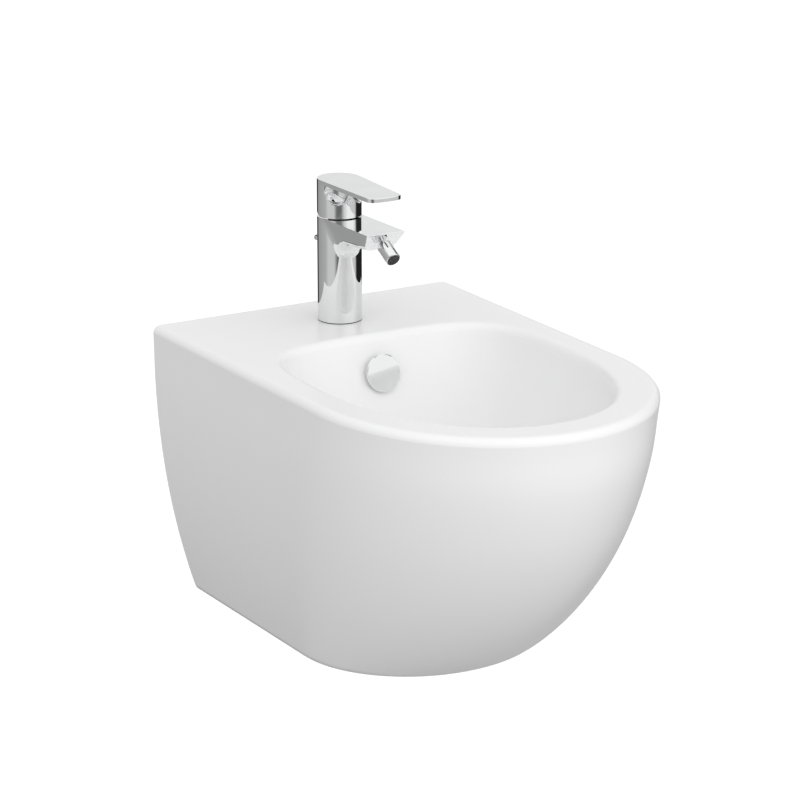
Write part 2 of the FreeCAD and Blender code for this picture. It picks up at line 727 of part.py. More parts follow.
def cartridge_seals():
    """Three rings that seal the cartridge's ports."""
    foot = RIM_Z + BORE_FOOT
    top = foot + PORT_SEAL_T
    rings = []
    for x, y in port_spots():
        bore = rod(WAY_R + SEAT, x, TAP_Y + y, foot, top)
        rings.append(rod(PORT_SEAL_R, x, TAP_Y + y, foot, top).cut(bore))
    return Part.makeCompound(rings)


def ports(z0, z1):
    """Three round water ways through the cartridge's plates."""
    holes = [rod(WAY_R, x, TAP_Y + y, z0, z1) for x, y in port_spots()]
    return holes[0].fuse(holes[1]).fuse(holes[2])


def cartridge_base():
    """Bottom plate of the cartridge with its water ways."""
    z0 = RIM_Z + BORE_FOOT + PORT_SEAL_T
    z1 = RIM_Z + BASE_TOP
    return rod(BORE_R - SEAT, 0, TAP_Y, z0, z1).cut(ports(z0, z1))


def fixed_disc():
    """Ceramic disc that stays still."""
    z0 = RIM_Z + BASE_TOP
    z1 = RIM_Z + FIXED_TOP
    return rod(CHAMBER_R - SEAT, 0, TAP_Y, z0, z1).cut(ports(z0, z1))


def moving_disc():
    """Ceramic disc that slides and turns on the fixed one."""
    z0 = RIM_Z + FIXED_TOP
    disc = rod(DISC_R, 0, TAP_Y, z0, RIM_Z + MOVING_TOP)
    return disc.cut(rod(POCKET_R, 0, TAP_Y - PORT_BACK, z0, z0 + POCKET_H))


def disc_driver():
    """Carrier that the spindle's tip pushes, with a boss in the rotor's pocket."""
    z0 = RIM_Z + MOVING_TOP
    tip = RIM_Z + PIVOT_H - TIP_ARM
    plate = rod(DISC_R, 0, TAP_Y, z0, RIM_Z + DRIVER_TOP)
    boss = block(-BOSS_HALF, BOSS_HALF, TAP_Y - BOSS_HALF, TAP_Y + BOSS_HALF, z0, tip + BOSS_OVER)
    gap = TIP_R + SEAT + RUN
    eye = block(-gap, gap, TAP_Y - gap, TAP_Y + gap, tip - TIP_R - 1, tip + TIP_R + 1)
    return plate.fuse(boss).cut(eye).removeSplitter()


def cartridge_housing():
    """Cartridge shell with a shoulder for the nut and a neck for the rotor."""
    outer, chamber = BORE_R - SEAT, CHAMBER_R
    z0, z1, z2 = RIM_Z + BASE_TOP, RIM_Z + SHOULDER_H, AXIS_TOP + LOOSE
    top = RIM_Z + CHAMBER_TOP
    hole = ROTOR_R + RUN
    profile = [(chamber, z0), (outer, z0), (outer, z1), (NECK_R, z1)]
    profile += [(NECK_R, z2), (hole, z2), (hole, top), (chamber, top)]
    return spin(profile, Vector(0, TAP_Y, 0), UP)


def cartridge_nut():
    """Ring that holds the cartridge down in the body."""
    nut = ring(BORE_R, NECK_R + SEAT, TAP_Y, RIM_Z + SHOULDER_H, AXIS_TOP - LOOSE)
    reach = (BORE_R + NECK_R) / 2
    notch = (BORE_R - NECK_R) / 2.5
    for k in range(4):
        a = math.radians(90 * k + 45)
        nut = nut.cut(rod(notch, reach * math.cos(a), TAP_Y + reach * math.sin(a), AXIS_TOP - 5, AXIS_TOP))
    return nut


def rotor():
    """Part of the cartridge that turns with the lever and carries its pivot."""
    z1 = RIM_Z + CHAMBER_TOP - RUN
    z0 = z1 - FLANGE_H
    body = rod(CHAMBER_R - SEAT, 0, TAP_Y, z0, z1).fuse(rod(ROTOR_R, 0, TAP_Y, z0, RIM_Z + ROTOR_TOP))
    slot = SPINDLE_HALF + LOOSE
    body = body.cut(block(-slot, slot, TAP_Y - SWING_HALF, TAP_Y + SWING_HALF, z0, RIM_Z + ROTOR_TOP))
    roof = RIM_Z + PIVOT_H - TIP_ARM + BOSS_OVER + LOOSE
    pocket = BOSS_HALF + RUN
    ahead = TAP_Y - BOSS_HALF - DISC_TRAVEL - LOOSE
    body = body.cut(block(-pocket, pocket, ahead, TAP_Y + BOSS_HALF + LOOSE, z0, roof))
    pin = cyl(PIN_R + PRESS, Vector(-ROTOR_R, TAP_Y, RIM_Z + PIVOT_H), SIDE, 2 * ROTOR_R)
    return body.cut(pin).removeSplitter()


def pivot_pin():
    """Cross pin of the lever's lift."""
    half = ROTOR_R - LOOSE
    return cyl(PIN_R, Vector(-half, TAP_Y, RIM_Z + PIVOT_H), SIDE, 2 * half)


def spindle():
    """Square spindle with a ball tip below its pivot."""
    pivot = RIM_Z + PIVOT_H
    half = SPINDLE_HALF
    bar = block(-half, half, TAP_Y - half, TAP_Y + half, pivot - 5, RIM_Z + SPINDLE_TOP)
    tip = Vector(0, TAP_Y, pivot - TIP_ARM)
    bar = bar.fuse(Part.makeSphere(TIP_R, tip)).fuse(cyl(TIP_R - 1, tip, UP, 8)).removeSplitter()
    return bar.cut(cyl(PIN_R + RUN, Vector(-half - 1, TAP_Y, pivot), SIDE, 2 * half + 2))


def arc(*points):
    """Edge of the circle through three points."""
    return Part.Arc(*points).toShape()


def lever_plan(z):
    """Plan of the lever: round back, tapering sides and a bowed front."""
    front = TAP_Y - LEVER_REACH
    tip, lip_y = LEVER_FRONT_HALF, front + LEVER_BOW
    back = arc(Vector(COLUMN_R, TAP_Y, z), Vector(0, TAP_Y + COLUMN_R, z), Vector(-COLUMN_R, TAP_Y, z))
    lip = arc(Vector(-tip, lip_y, z), Vector(0, front, z), Vector(tip, lip_y, z))
    left = Part.makeLine(Vector(-COLUMN_R, TAP_Y, z), Vector(-tip, lip_y, z))
    right = Part.makeLine(Vector(tip, lip_y, z), Vector(COLUMN_R, TAP_Y, z))
    return Part.Wire([back, left, lip, right])


def lever():
    """Lever: round neck over the column, thin plate to the front and two finger scoops."""
    base = RIM_Z + LEVER_FOOT
    wide = 2 * COLUMN_R
    back_y, front_y = TAP_Y + COLUMN_R + 2, TAP_Y - LEVER_REACH - 2
    top = [(back_y, RIM_Z + LEVER_BACK_TOP), (front_y, RIM_Z + LEVER_FRONT_TOP)]
    low = [(front_y, RIM_Z + LEVER_FRONT_TOP - PLATE_T), (back_y, RIM_Z + LEVER_BACK_TOP - PLATE_T)]
    plan = Part.Face(lever_plan(base)).extrude(Vector(0, 0, LEVER_BACK_TOP - LEVER_FOOT + 2))
    corners = [e for e in plan.Edges if e.BoundBox.ZLength > 1 and e.BoundBox.YMax < TAP_Y - COLUMN_R]
    plan = plan.makeFillet(LEVER_CORNER, corners)
    plate = plan.common(prism_yz(top + low, wide))
    plate = plate.makeFillet(EDGE_ROUND, top_edges(plate))
    neck = rod(COLUMN_R, 0, TAP_Y, base, RIM_Z + LEVER_BACK_TOP)
    under = [(y, z - PLATE_T / 2) for y, z in top]
    neck = neck.common(prism_yz([(back_y, base)] + under + [(front_y, base)], wide))
    turn = math.radians(SCOOP_DEG)
    for side in (-1, 1):
        x = side * SCOOP_OUT * math.sin(turn)
        spot = Vector(x, TAP_Y - SCOOP_OUT * math.cos(turn), RIM_Z + SCOOP_H)
        neck = neck.cut(Part.makeSphere(SCOOP_R, spot))
    body = neck.fuse(plate).removeSplitter()
    rise = math.tan(math.radians(LIFT_DEG + 2)) * (back_y - TAP_Y)
    body = body.cut(prism_yz([(TAP_Y, base), (back_y, base), (back_y, base + rise)], wide))
    body = body.cut(rod(CAVITY_R, 0, TAP_Y, base - 1, RIM_Z + CAVITY_TOP))
    half = SPINDLE_HALF + RUN
    socket = block(-half, half, TAP_Y - half, TAP_Y + half, base, RIM_Z + SPINDLE_TOP + LOOSE)
    tapping = cyl(SCREW_R + SEAT, Vector(0, TAP_Y, RIM_Z + SCREW_H), OUT, COLUMN_R + 1)
    seat = cyl(CAP_R, Vector(0, TAP_Y - COLUMN_R + CAP_SINK, RIM_Z + SCREW_H), OUT, CAP_SINK + 1)
    return body.cut(socket).cut(tapping).cut(seat)


def top_edges(plate):
    """Edges around the upper face of the lever's plate."""
    face = max(plate.Faces, key=lambda f: f.CenterOfMass.z)
    return face.Edges


def lever_screw():
    """Grub screw that clamps the lever on the spindle."""
    start = Vector(0, TAP_Y - SPINDLE_HALF, RIM_Z + SCREW_H)
    key = hexagon(SCREW_KEY, start + OUT * (SCREW_LENGTH - 3), OUT, 4)
    return cyl(SCREW_R, start, OUT, SCREW_LENGTH).cut(key)


def indicator_cap():
    """Round cap with a slight dome over the grub screw."""
    start = Vector(0, TAP_Y - COLUMN_R + CAP_SINK, RIM_Z + SCREW_H)
    rim = CAP_R - SEAT
    profile = [(0, 0), (rim, 0), (rim, CAP_SINK + 0.2), (rim - 0.8, CAP_SINK + 0.7), (0, CAP_SINK + 0.9)]
    return spin(profile, start, OUT)


def sphere_arc(radius, start_deg, end_deg, steps):
    """Points on a sphere's profile between two angles from the pole."""
    spots = []
    for k in range(steps + 1):
        a = math.radians(start_deg + (end_deg - start_deg) * k / steps)
        spots.append((radius * math.sin(a), radius * math.cos(a)))
    return spots


def ball_retainer():
    """Ring in the spout's front face that keeps the nozzle's ball in."""
    lip = sphere_arc(BALL_R + RUN, MOUTH_DEG, 58, 3)
    cage = sphere_arc(CAGE_R, 60, 88, 8)
    return spin(lip + cage + [(RING_R, cage[-1][1]), (RING_R, BALL_BACK)], BALL, FACE_OUT)


def ball_seat():
    """Seal behind the nozzle's ball, with the water way through it."""
    cup = sphere_arc(BALL_R + RUN, 180 - SEAL_OUT_DEG, 180 - SEAL_IN_DEG, 5)
    floor = -SEAL_DEPTH
    return spin(cup + [(cup[-1][0], floor), (SEAL_R, floor), (SEAL_R, cup[0][1])], BALL, FACE_OUT)


def ball_liner():
    """Thin band between the ball and its cage."""
    inner = sphere_arc(BALL_R + RUN, 90 - LINER_HALF_DEG, 90 + LINER_HALF_DEG, 8)
    outer = sphere_arc(BALL_R + RUN + LINER_T, 90 + LINER_HALF_DEG, 90 - LINER_HALF_DEG, 8)
    return spin(inner + outer, BALL, FACE_OUT)


def nozzle():
    """Ball, neck and hollow barrel of the jet."""
    end = NOZZLE_REACH
    bore = NOZZLE_R - BARREL_WALL
    profile = [(NOZZLE_NECK_R, 0), (NOZZLE_NECK_R, NOZZLE_REAR)]
    profile += [(NOZZLE_R - 1, NOZZLE_REAR), (NOZZLE_R, NOZZLE_REAR + 1)]
    profile += [(NOZZLE_R, end - 0.5), (NOZZLE_R - 0.5, end), (bore, end), (bore, end - BARREL_DEPTH)]
    profile += [(JET_R, end - BARREL_DEPTH - JET_R), (JET_R, 0)]
    barrel = spin(profile, BALL, NOZZLE_DIR)
    ball = Part.makeSphere(BALL_R, BALL)
    jet = cyl(JET_R, BALL - NOZZLE_DIR * (BALL_R + 1), NOZZLE_DIR, 2 * BALL_R + 2)
    return barrel.fuse(ball.cut(jet)).removeSplitter()


def aerator_housing():
    """Plastic insert in the barrel's mouth."""
    top = MESH_END - MESH_T
    foot = top - INSERT_LENGTH
    inner = INSERT_R - INSERT_WALL
    return spin([(inner, foot), (INSERT_R, foot), (INSERT_R, top), (inner, top)], BALL, NOZZLE_DIR)


def aerator_mesh():
    """Round screen with a square grid of holes."""
    foot = MESH_END - MESH_T
    disc = cyl(INSERT_R, BALL + NOZZLE_DIR * foot, NOZZLE_DIR, MESH_T)
    over = NOZZLE_DIR.cross(SIDE)
    start = BALL + NOZZLE_DIR * (foot - 1)
    holes = []
    for i in range(-3, 4):
        for k in range(-3, 4):
            if math.hypot(i, k) * MESH_PITCH < INSERT_R - 1:
                spot = start + SIDE * (MESH_PITCH * i) + over * (MESH_PITCH * k)
                holes.append(cyl(MESH_HOLE_R, spot, NOZZLE_DIR, MESH_T + 2))
    return disc.cut(Part.makeCompound(holes))


def aerator_seal():
    """Rubber washer between the insert and the barrel's step."""
    top = MESH_END - MESH_T - INSERT_LENGTH
    foot = top - INSERT_SEAL_T
    profile = [(INSERT_SEAL_R, foot), (INSERT_R, foot), (INSERT_R, top), (INSERT_SEAL_R, top)]
    return spin(profile, BALL, NOZZLE_DIR)


def lift_rod():
    """Raked rod that works the waste."""
    low = rod_line(BALL_Z - RIM_Z + ROD_SINK)
    return cyl(ROD_R, low, ROD_DIR, (rod_line(KNOB_H) - low).Length)


def lift_knob():
    """Flat round knob on top of the lift rod."""
    half = KNOB_T / 2
    profile = [(ROD_R + SEAT, -half), (KNOB_R - 1.5, -half), (KNOB_R, -half + 1.5), (KNOB_R, half - 1.5)]
    profile += [(KNOB_R - 1.5, half), (0, half + 0.5), (0, 0), (ROD_R + SEAT, 0)]
    return spin(profile, rod_line(KNOB_H), ROD_DIR)


def rod_slot():
    """Half height of the slot that lets the ball rod rock in the link."""
    return ROD_R + LINK_FAR * math.tan(ROD_SWING / 2) + SLOT_SLACK


def link_spot():
    """Point on the lift rod's centre line where the link's screw bears."""
    return rod_line(BALL_Z - RIM_Z + SCREW_RISE)


def rod_link():
    """Block that joins the lift rod to the ball rod."""
    mid = BALL_Z - LINK_ARM * math.tan(ROD_SWING / 2)
    near, far = LINK_Y - LINK_NEAR, LINK_Y + LINK_FAR
    body = block(-LINK_HALF, LINK_HALF, near, far, mid - LINK_BELOW, mid + LINK_ABOVE)
    body = body.cut(cyl(ROD_R + SEAT, rod_line(BALL_Z - RIM_Z + ROD_SINK), ROD_DIR, 2 * LINK_ABOVE))
    body = body.cut(cyl(LINK_SCREW_R + SEAT, link_spot(), SIDE, LINK_HALF + 1))
    half = rod_slot()
    side = ROD_R + LOOSE + SEAT
    return body.cut(block(-side, side, near - 1, far + 1, mid - half, mid + half))


def link_screw():
    """Screw that clamps the link on the lift rod."""
    start = link_spot() + SIDE * ROD_R
    reach = LINK_HALF - ROD_R
    head = cyl(SCREW_HEAD_R, start + SIDE * reach, SIDE, SCREW_HEAD_T)
    return cyl(LINK_SCREW_R, start, SIDE, reach).fuse(head).removeSplitter()


def waste_flange():
    """Chrome flange with a dished seat and a tube with overflow slots."""
    seat = FLANGE_FOOT
    top = seat + FLANGE_T
    bevel = FLANGE_T / 2
    profile = [(TUBE_BORE, TUBE_FOOT), (TUBE_R, TUBE_FOOT), (TUBE_R, seat)]
    profile += [(FLANGE_R, seat), (FLANGE_R, top - bevel)]
    profile += [(FLANGE_R - bevel, top), (TUBE_BORE + DISH, top), (TUBE_BORE, top - DISH)]
    body = spin(profile, Vector(0, WASTE_Y, 0), UP)
    for k in range(4):
        window = block(-SLOT_HALF, SLOT_HALF, 0, TUBE_R + 2, FLOOR_Z - SLOT_FOOT, FLOOR_Z - SLOT_TOP)
        window.rotate(Vector(0, 0, 0), UP, 90 * k)
        window.translate(Vector(0, WASTE_Y, 0))
        body = body.cut(window)
    return body


def waste_ring(outer, inner, z0, z1):
    """Ring on the waste's axis."""
    return ring(outer, inner, WASTE_Y, z0, z1)


def waste_gasket():
    """Tapered rubber ring under the sump boss."""
    bore = TUBE_R + SEAT
    shoulder = BOSS_FOOT - GASKET_CONE
    profile = [(bore, GASKET_FOOT), (NUT_LIP_R, GASKET_FOOT), (NUT_LIP_R, shoulder)]
    profile += [(WASTE_HOLE_R - LOOSE, BOSS_FOOT)]
    return spin(profile + [(bore, BOSS_FOOT)], Vector(0, WASTE_Y, 0), UP)


def waste_nut():
    """Back nut with grip lugs."""
    top = GASKET_FOOT
    body = waste_ring(NUT_R, TUBE_R + SEAT, top - NUT_H, top)
    body = body.fuse(waste_ring(NUT_LIP_R, TUBE_R + SEAT, top - NUT_LIP_T, top))
    for k in range(6):
        lug = block(-LUG_HALF, LUG_HALF, NUT_R - 2, NUT_R + LUG_OUT, top - NUT_H, top - 1)
        lug.rotate(Vector(0, 0, 0), UP, 60 * k)
        lug.translate(Vector(0, WASTE_Y, 0))
        body = body.fuse(lug)
    return body.removeSplitter()


def waste_tee():
    """Lower body with a socket, a side port for the ball rod and the tail."""
    step = TUBE_FOOT
    shoulder = BALL_Z - TEE_BELOW
    bore = TAIL_R - TAIL_WALL
    inner, outer = TUBE_R + SEAT, TUBE_R + SOCKET_WALL
    profile = [(inner, step - TEE_SEAL), (inner, step + SOCKET_H), (outer, step + SOCKET_H), (outer, step - 5)]
    profile += [(TEE_R, step - 8), (TEE_R, shoulder), (TAIL_R, shoulder - 3)]
    profile += [(TAIL_R, TAIL_END), (bore, TAIL_END)]
    profile += [(bore, shoulder), (TEE_BORE, shoulder + 2), (TEE_BORE, step - TEE_SEAL)]
    body = spin(profile, Vector(0, WASTE_Y, 0), UP)
    axis = Vector(0, WASTE_Y, BALL_Z)
    port = cyl(PORT_R, axis, BACK, BALL_ARM + PORT_OVER)
    port = port.cut(rod(TEE_BORE, 0, WASTE_Y, BALL_Z - 2 * PORT_R, BALL_Z + 2 * PORT_R))
    body = body.fuse(port).cut(cyl(PORT_BORE, axis, BACK, BALL_ARM + PORT_OVER + 1))
    return body.cut(cyl(GLAND_R + SEAT, GLAND + OUT * GLAND_SEAT, BACK, 3 * GLAND_SEAT)).removeSplitter()


def gland_seats():
    """Two cupped seals on either side of the rod's ball."""
    cup = sphere_arc(GLAND_BALL_R + RUN, 45, 70, 5)
    profile = cup + [(GLAND_R, cup[-1][1]), (GLAND_R, GLAND_SEAT), (cup[0][0], GLAND_SEAT)]
    return Part.makeCompound([spin(profile, GLAND, way) for way in (OUT, BACK)])


def gland_nut():
    """Cap nut that closes the port around the ball."""
    inner, outer = PORT_R + SEAT, PORT_R + GLAND_WALL
    end = GLAND_SEAT + SOCKET_WALL
    profile = [(inner, -GLAND_SKIRT), (outer, -GLAND_SKIRT), (outer, end)]
    profile += [(PORT_BORE, end), (PORT_BORE, GLAND_SEAT), (inner, GLAND_SEAT)]
    return spin(profile, GLAND, BACK)


def rocked(shape):
    """Turns a level ball rod to its rest, with the far end down."""
    shape.rotate(GLAND, SIDE, -math.degrees(ROD_SWING / 2))
    return shape


def ball_rod():
    """Rod through the ball, from the plug's eye to the link."""
    start = BALL_ARM + ROD_EYE
    return rocked(cyl(ROD_R, GLAND + OUT * start, BACK, start + LINK_ARM + ROD_TAIL))


def rod_ball():
    """Ball that seals and pivots the rod."""
    hole = cyl(ROD_R + PRESS, GLAND + OUT * (GLAND_BALL_R + 1), BACK, 2 * GLAND_BALL_R + 2)
    return rocked(Part.makeSphere(GLAND_BALL_R, GLAND).cut(hole))


def plug():
    """Stopper with a domed cap, guide fins and an eye for the ball rod, shown open."""
    cap = CAP_FOOT
    eye = BALL_Z + PLUG_TRAVEL / 2
    centre = Vector(0, WASTE_Y, 0)
    profile = [(0, cap), (PLUG_R - 1, cap), (PLUG_R, cap + 1), (PLUG_R - 2, cap + PLUG_EDGE)]
    body = spin(profile + [(PLUG_DOME_R, cap + PLUG_DOME - 0.6), (0, cap + PLUG_DOME)], centre, UP)
    body = body.fuse(rod(STEM_R, 0, WASTE_Y, eye + EYE_ABOVE / 2, cap + 1))
    fin = TUBE_BORE - LOOSE - SEAT
    for turn in (45, 135):
        bar = block(-fin, fin, -FIN_T / 2, FIN_T / 2, cap - FIN_FOOT, cap - FIN_TOP)
        bar.rotate(Vector(0, 0, 0), UP, turn)
        bar.translate(centre)
        body = body.fuse(bar)
    near, far = WASTE_Y - EYE_T / 2, WASTE_Y + EYE_T / 2
    body = body.fuse(block(-EYE_HALF, EYE_HALF, near, far, eye - EYE_BELOW, eye + EYE_ABOVE))
    hole = ROD_R + 3 * LOOSE
    return body.cut(block(-hole, hole, near - 1, far + 1, eye - hole, eye + hole)).removeSplitter()


def plug_seal():
    """Ring under the stopper's cap that seals in the flange's dish."""
    cap = CAP_FOOT
    foot = cap - PLUG_SEAL_T
    inner = STEM_R + SEAT
    profile = [(inner, foot), (TUBE_BORE + 1.2, foot), (TUBE_BORE + 3.4, cap), (inner, cap)]
    return spin(profile, Vector(0, WASTE_Y, 0), UP)


NODES = {
    "ceramic_body": ceramic_body(),
    "ceramic_bowl": ceramic_bowl(),
    "overflow_cover": overflow_cover(),
    "overflow_clip": overflow_clip(),
    "fixing_sleeves": pair(fixing_sleeve),
    "fixing_washers": pair(fixing_washer),
    "fixing_nuts": pair(fixing_nut),
    "tap_body": tap_body(),
    "base_gasket": base_gasket(),
    "clamp_stud": clamp_stud(),
    "clamp_pad": horseshoe(PAD_R, DECK_FOOT - PAD_T, DECK_FOOT),
    "clamp_plate": horseshoe(CLAMP_R, DECK_FOOT - PAD_T - CLAMP_T, DECK_FOOT - PAD_T),
    "clamp_nut": clamp_nut(),
    "cartridge_seals": cartridge_seals(),
    "cartridge_base": cartridge_base(),
    "fixed_disc": fixed_disc(),
    "moving_disc": moving_disc(),
    "disc_driver": disc_driver(),
    "cartridge_housing": cartridge_housing(),
    "cartridge_nut": cartridge_nut(),
    "rotor": rotor(),
    "pivot_pin": pivot_pin(),
    "spindle": spindle(),
    "lever": lever(),
    "lever_screw": lever_screw(),
    "indicator_cap": indicator_cap(),
    "ball_retainer": ball_retainer(),
    "ball_seat": ball_seat(),
    "ball_liner": ball_liner(),
    "nozzle": nozzle(),
    "aerator_housing": aerator_housing(),
    "aerator_mesh": aerator_mesh(),
    "aerator_seal": aerator_seal(),
    "lift_rod": lift_rod(),
    "lift_knob": lift_knob(),
    "rod_link": rod_link(),
    "link_screw": link_screw(),
    "waste_flange": waste_flange(),
    "flange_seal": waste_ring(FLANGE_R - 1, WASTE_HOLE_R + LOOSE, RECESS_FOOT, FLANGE_FOOT),
    "waste_gasket": waste_gasket(),
    "waste_nut": waste_nut(),
    "tee_seal": waste_ring(TUBE_R, TUBE_BORE, TUBE_FOOT - TEE_SEAL, TUBE_FOOT),
    "waste_tee": waste_tee(),
    "gland_seats": gland_seats(),
    "gland_nut": gland_nut(),
    "ball_rod": ball_rod(),
    "rod_ball": rod_ball(),
    "plug": plug(),
    "plug_seal": plug_seal(),
}

for name, shape in NODES.items():
    shape.exportStep("parts/" + name + ".step")
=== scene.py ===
"""Wall-hung bidet: studio, finishes, and the thread and grip that the plain solids leave out."""

import json
import logging
import math
from dataclasses import dataclass, field
from enum import Enum

import bmesh
import bpy
from mathutils import Matrix, Vector


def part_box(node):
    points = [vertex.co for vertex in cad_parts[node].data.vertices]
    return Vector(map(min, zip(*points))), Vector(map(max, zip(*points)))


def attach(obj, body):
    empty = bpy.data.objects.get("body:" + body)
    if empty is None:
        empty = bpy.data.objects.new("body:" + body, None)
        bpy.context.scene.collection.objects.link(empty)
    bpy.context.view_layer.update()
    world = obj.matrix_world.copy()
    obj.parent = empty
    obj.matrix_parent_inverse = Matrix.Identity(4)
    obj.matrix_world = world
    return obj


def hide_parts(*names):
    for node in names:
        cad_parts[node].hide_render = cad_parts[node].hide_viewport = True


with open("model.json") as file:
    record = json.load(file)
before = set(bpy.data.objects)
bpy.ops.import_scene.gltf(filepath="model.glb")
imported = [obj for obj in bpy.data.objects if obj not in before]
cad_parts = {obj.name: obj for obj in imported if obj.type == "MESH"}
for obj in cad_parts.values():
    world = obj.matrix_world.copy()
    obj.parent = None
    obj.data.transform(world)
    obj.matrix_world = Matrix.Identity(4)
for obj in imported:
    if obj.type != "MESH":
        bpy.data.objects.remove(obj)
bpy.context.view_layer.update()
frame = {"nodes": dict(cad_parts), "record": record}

LOG = logging.getLogger("bidet")
Colour = tuple[float, float, float]
Stops = tuple[tuple[float, float], ...]
Socket = bpy.types.NodeSocket

MERGE = 1e-6  # metres within which two points are one
NOISE_SPAN = (0.3, 0.7)  # the part of a noise's range that is spread over the whole effect
FINE_RATIO = 9.0  # how much finer the second layer of a skin's waviness is


class Slot(Enum):
    """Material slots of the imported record."""

    GLAZE = "glaze"
    CHROME = "chrome_trim"
    BRASS = "brass"
    STEEL = "steel"
    RUBBER = "rubber"
    WHITE_PLASTIC = "white_plastic"
    GREY_PLASTIC = "grey_plastic"
    DISC_CERAMIC = "disc_ceramic"
    SCREEN = "mesh"
    INDICATOR = "indicator"


class Effect(Enum):
    """Surface effects that several finishes share."""

    MOTTLE = "mottle"
    PEEL = "orange_peel"
    LATHE = "lathe_lines"
    FLECK = "flecks"
    WALL_FACE = "wall_face"


class Bench:
    """Places and joins the nodes of one node tree."""

    def __init__(self, tree: bpy.types.NodeTree) -> None:
        """Empties the tree for a fresh start.

        Args:
            tree: the material, world or group tree to fill.
        """
        self.tree = tree
        tree.nodes.clear()

    def node(self, kind: str, **settings: object) -> bpy.types.Node:
        """Adds a node.

        Args:
            kind: the node's type without its ShaderNode prefix, or a full group type.
            settings: attributes to set on the node.

        Returns:
            The new node.
        """
        full = kind if kind.startswith("Node") else "ShaderNode" + kind
        made = self.tree.nodes.new(full)
        for key, value in settings.items():
            setattr(made, key, value)
        return made

    def feed(self, socket: Socket, value: object) -> None:
        """Links an output to a socket, or sets the socket's own value.

        Args:
            socket: the input to feed.
            value: an output to link, or a plain value.
        """
        if isinstance(value, Socket):
            self.tree.links.new(value, socket)
        else:
            socket.default_value = value

    def place(self) -> Socket:
        """Gives each point's place on the object, in metres."""
        return self.node("TexCoord").outputs["Object"]

    def sum(self, kind: str, a: object, b: object = 0.0) -> Socket:
        """Adds a Math node.

        Args:
            kind: the operation's name.
            a: first value or output.
            b: second value or output.

        Returns:
            The node's output.
        """
        made = self.node("Math", operation=kind)
        self.feed(made.inputs[0], a)
        self.feed(made.inputs[1], b)
        return made.outputs[0]

    def dot(self, way: Socket, axis: Vector | Colour) -> Socket:
        """Adds a dot product.

        Args:
            way: a direction's output.
            axis: the fixed vector that it is set against.

        Returns:
            The product's output.
        """
        made = self.node("VectorMath", operation="DOT_PRODUCT")
        self.feed(made.inputs[0], way)
        self.feed(made.inputs[1], axis)
        return made.outputs["Value"]

    def noise(self, place: Socket, scale: object, detail: object) -> Socket:
        """Adds a noise texture.

        Args:
            place: the place's output.
            scale: how many waves go in a metre.
            detail: how many finer layers lie on it.

        Returns:
            The noise's output, from 0 to 1.
        """
        made = self.node("TexNoise")
        for label, value in (("Vector", place), ("Scale", scale), ("Detail", detail)):
            self.feed(made.inputs[label], value)
        return made.outputs[0]

    def span(self, value: object, low: object, high: object, to_low: object, to_high: object) -> Socket:
        """Maps a value from one range to another, softly and clamped.

        Args:
            value: the value or output to map.
            low: start of the first range.
            high: end of the first range.
            to_low: start of the second range.
            to_high: end of the second range.

        Returns:
            The mapped output.
        """
        made = self.node("MapRange", interpolation_type="SMOOTHSTEP")
        for socket, source in zip(made.inputs, (value, low, high, to_low, to_high)):
            self.feed(socket, source)
        return made.outputs[0]

    def blend(self, share: object, a: object, b: object) -> Socket:
        """Mixes two colours.

        Args:
            share: how much of the second colour shows.
            a: first colour, or an output.
            b: second colour, or an output.

        Returns:
            The mixed colour's output.
        """
        made = self.node("Mix", data_type="RGBA")
        self.feed(made.inputs[0], share)
        self.feed(made.inputs[6], a if isinstance(a, Socket) else (*a, 1.0))
        self.feed(made.inputs[7], b if isinstance(b, Socket) else (*b, 1.0))
        return made.outputs[2]


